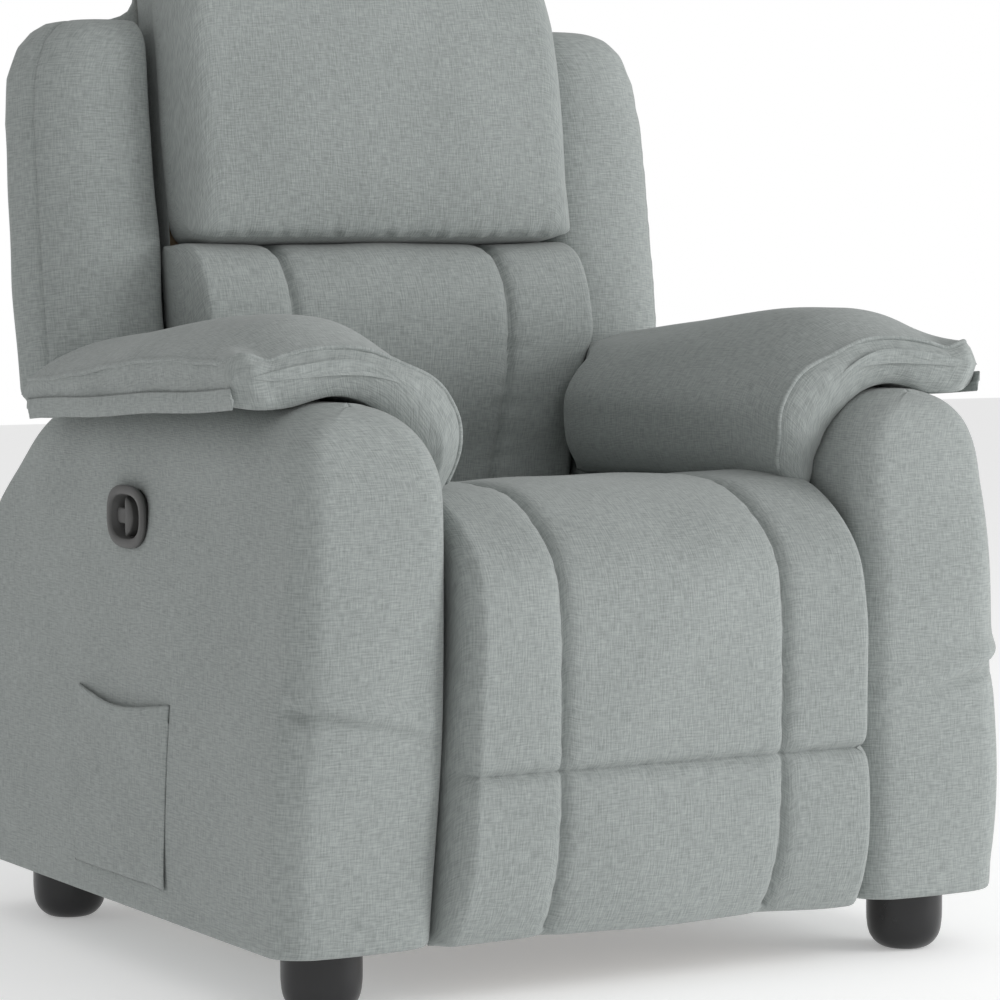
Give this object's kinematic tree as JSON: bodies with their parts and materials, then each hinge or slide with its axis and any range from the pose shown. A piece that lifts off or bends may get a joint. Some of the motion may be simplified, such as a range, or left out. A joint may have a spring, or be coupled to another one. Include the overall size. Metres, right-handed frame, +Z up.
{
  "type": "recliner armchair",
  "caption": "Upholstered recliner armchair: padded arms, channelled seat and footrest, head pillow, side wings and a tipping back.",
  "frame": {"origin": "middle of the chair's bounding box at floor level", "axes": "+Z up, -Y the way the sitter faces, +X towards the sitter's left"},
  "size_m": [0.78, 0.741, 0.9689],
  "materials": {
    "linen_cloth": "light grey linen-look weave, matt",
    "black_plastic": "semi-gloss moulded",
    "grey_plastic": "satin moulded",
    "plywood": "bare birch plywood",
    "coated_steel": "dark powder coat",
    "spring_wire": "drawn wire",
    "nylon": "natural nylon"
  },
  "bodies": {
    "base": {"arm_frame_left": "plywood", "arm_frame_right": "plywood", "arm_padding_front_left": "linen_cloth", "arm_padding_front_right": "linen_cloth", "arm_padding_inner_left": "linen_cloth", "arm_padding_inner_right": "linen_cloth", "arm_padding_outer_left": "linen_cloth", "arm_padding_outer_right": "linen_cloth", "arm_padding_top_left": "linen_cloth", "arm_padding_top_right": "linen_cloth", "armrest_pad_left": "linen_cloth", "armrest_pad_right": "linen_cloth", "base_rail_front": "plywood", "base_rail_rear": "plywood", "foot_front_left": "black_plastic", "foot_front_right": "black_plastic", "foot_rear_left": "black_plastic", "foot_rear_right": "black_plastic", "handle_bezel": "grey_plastic", "rear_kick_panel": "linen_cloth", "seat_track_left": "coated_steel", "seat_track_right": "coated_steel", "side_pocket": "linen_cloth"},
    "seat": {"seat_cushion": "linen_cloth", "seat_front_rail": "plywood", "seat_glide_left": "nylon", "seat_glide_right": "nylon", "seat_rear_rail": "plywood", "seat_side_plate_left": "coated_steel", "seat_side_plate_right": "coated_steel", "seat_spring_left": "spring_wire", "seat_spring_middle": "spring_wire", "seat_spring_right": "spring_wire"},
    "back": {"back_bracket_left": "coated_steel", "back_bracket_right": "coated_steel", "back_rail_bottom": "plywood", "back_rail_middle": "plywood", "back_rail_top": "plywood", "back_rear_panel": "linen_cloth", "back_side_rail_left": "plywood", "back_side_rail_right": "plywood", "head_pillow": "linen_cloth", "lumbar_cushion": "linen_cloth", "wing_left": "linen_cloth", "wing_right": "linen_cloth"},
    "footrest": {"footrest_board": "plywood", "footrest_bracket_left": "coated_steel", "footrest_bracket_right": "coated_steel", "footrest_cushion": "linen_cloth"},
    "rear_cranks": {"crank_rear_left": "coated_steel", "crank_rear_right": "coated_steel"},
    "front_cranks": {"crank_front_left": "coated_steel", "crank_front_right": "coated_steel", "torque_tube": "coated_steel"},
    "upper_couplers": {"coupler_upper_left": "coated_steel", "coupler_upper_right": "coated_steel"},
    "lower_couplers": {"coupler_lower_left": "coated_steel", "coupler_lower_right": "coated_steel"},
    "lever": {"release_lever": "grey_plastic"}
  },
  "joints": [
    {"name": "seat_slide", "type": "slide", "parent": "base", "child": "seat", "axis": [0, -1, 0], "range_m": [0, 0.04]},
    {"name": "back_recline", "type": "hinge", "parent": "seat", "child": "back", "pos_m": [0, 0.2155, 0.325], "axis": [-1, 0, 0], "range_deg": [0, 35]},
    {"name": "footrest_lift", "type": "hinge", "parent": "seat", "child": "footrest", "pos_m": [0, -0.3595, 0.405], "axis": [-1, 0, 0], "range_deg": [0, 86]},
    {"name": "rear_crank_swing", "type": "hinge", "parent": "seat", "child": "rear_cranks", "pos_m": [0, -0.1095, 0.3], "axis": [-1, 0, 0], "range_deg": [0, 86]},
    {"name": "front_crank_swing", "type": "hinge", "parent": "seat", "child": "front_cranks", "pos_m": [0, -0.07262, 0.28451], "axis": [-1, 0, 0], "range_deg": [0, 86]},
    {"name": "upper_coupler_turn", "type": "hinge", "parent": "rear_cranks", "child": "upper_couplers", "pos_m": [0, 0.00549, 0.11597], "axis": [1, 0, 0], "range_deg": [0, 86]},
    {"name": "lower_coupler_turn", "type": "hinge", "parent": "rear_cranks", "child": "lower_couplers", "pos_m": [0, 0.02934, 0.07781], "axis": [1, 0, 0], "range_deg": [0, 86]},
    {"name": "release_pull", "type": "hinge", "parent": "base", "child": "lever", "pos_m": [-0.359, 0.0225, 0.4145], "axis": [0, 0, -1], "range_deg": [0, 30], "stiffness_Nm_per_rad": 0.3}
  ],
  "couplings": [
    {"joint": "seat_slide", "follows": "back_recline", "m_per_rad": 0.06548},
    {"joint": "rear_crank_swing", "follows": "footrest_lift", "ratio": 1},
    {"joint": "front_crank_swing", "follows": "footrest_lift", "ratio": 1},
    {"joint": "upper_coupler_turn", "follows": "footrest_lift", "ratio": 1},
    {"joint": "lower_coupler_turn", "follows": "footrest_lift", "ratio": 1}
  ]
}
